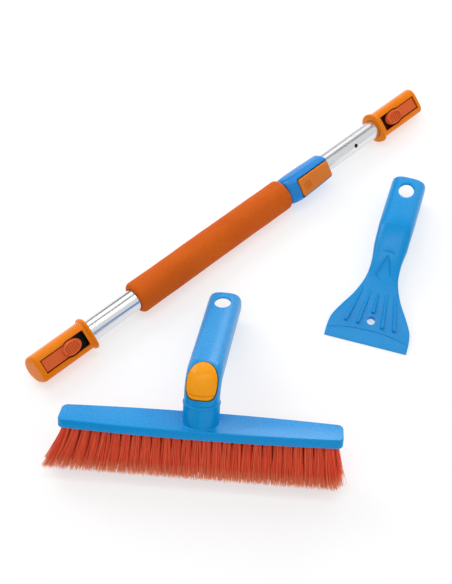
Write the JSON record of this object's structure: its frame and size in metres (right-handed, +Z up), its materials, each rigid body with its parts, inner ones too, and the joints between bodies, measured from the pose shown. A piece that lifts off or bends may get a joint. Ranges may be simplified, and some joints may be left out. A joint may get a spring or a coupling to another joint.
{
  "type": "snow brush scraper",
  "caption": "Telescopic pole with a foam grip and plug connectors, a swivel brush head and an ice scraper that slide onto the plugs.",
  "frame": {"origin": "on the ground under the middle of the laid-out set's bounding box", "axes": "+Z up from the ground, +X to the right along the brush's width, +Y away, towards the pole's far end"},
  "size_m": [0.4604, 0.5508, 0.1097],
  "materials": {
    "connector_orange": "semi-gloss moulded plastic",
    "core_black": "matt black moulded plastic",
    "core_maroon": "matt dark red moulded plastic",
    "latch_red_orange": "satin moulded plastic with ribbed pad",
    "steel": "bright drawn steel",
    "tube_metal": "polished drawn aluminium",
    "foam": "matt closed-cell foam",
    "collar_blue": "semi-gloss moulded plastic",
    "lever_orange": "satin moulded plastic",
    "moulded_blue": "semi-gloss moulded plastic",
    "button_golden": "semi-gloss moulded plastic",
    "bristles": "crimped filaments with feathered tips"
  },
  "bodies": {
    "pole": {"near_connector_shell": "connector_orange", "near_connector_core": "core_black", "near_connector_rivet": "steel", "outer_tube": "tube_metal", "foam_grip": "foam", "lock_collar": "collar_blue", "collar_guide_bush": "core_black", "rocker_pivot_pin": "steel", "rocker_spring": "steel", "collar_rivet": "steel"},
    "near_latch": {"near_latch_arm": "latch_red_orange"},
    "inner_pole": {"inner_tube": "tube_metal", "inner_tube_end_bush": "core_black", "far_connector_shell": "connector_orange", "far_connector_core": "core_maroon", "far_connector_rivet": "steel"},
    "far_latch": {"far_latch_arm": "latch_red_orange"},
    "rocker": {"lock_rocker": "lever_orange", "lock_pin": "steel"},
    "brush": {"brush_handle": "moulded_blue", "button_spring": "steel", "swivel_screw": "steel", "swivel_washer": "steel"},
    "button": {"swivel_button": "button_golden"},
    "head": {"brush_block": "moulded_blue", "bristle_row_1": "bristles", "bristle_row_2": "bristles", "bristle_row_3": "bristles", "bristle_row_4": "bristles"},
    "scraper": {"ice_scraper": "moulded_blue"}
  },
  "joints": [
    {"name": "inner_tube_slide", "type": "slide", "parent": "pole", "child": "inner_pole", "axis": [0.742, 0.6704, 0], "range_m": [-0.075, 0.2]},
    {"name": "near_latch_flex", "type": "hinge", "parent": "pole", "child": "near_latch", "pos_m": [-0.20755, -0.1335, 0.02653], "axis": [-0.4903, 0.5426, 0.682], "range_deg": [0, 4.5], "stiffness_Nm_per_rad": 0.6},
    {"name": "far_latch_flex", "type": "hinge", "parent": "inner_pole", "child": "far_latch", "pos_m": [0.21894, 0.25187, 0.02653], "axis": [0.4903, -0.5426, -0.682], "range_deg": [0, 4.5], "stiffness_Nm_per_rad": 0.6},
    {"name": "rocker_hinge", "type": "hinge", "parent": "pole", "child": "rocker", "pos_m": [0.0892, 0.12786, 0.02742], "axis": [0.3845, -0.4256, -0.8192], "range_deg": [0, 7], "stiffness_Nm_per_rad": 0.2, "deforming": ["rocker_spring"]},
    {"name": "brush_lift", "type": "slide", "parent": "pole", "child": "brush", "axis": [0, 0, 1], "range_m": [0, 0.2]},
    {"name": "scraper_lift", "type": "slide", "parent": "pole", "child": "scraper", "axis": [0, 0, 1], "range_m": [0, 0.2]},
    {"name": "head_swivel", "type": "hinge", "parent": "brush", "child": "head", "pos_m": [-0.03847, -0.20517, 0.08207], "axis": [0.0462, 0.5276, 0.8483], "range_deg": [-90, 90]},
    {"name": "button_press", "type": "slide", "parent": "brush", "child": "button", "axis": [0.0632, 0.2747, -0.9595], "range_m": [0, 0.003], "stiffness_N_per_m": 600, "deforming": ["button_spring"]}
  ]
}
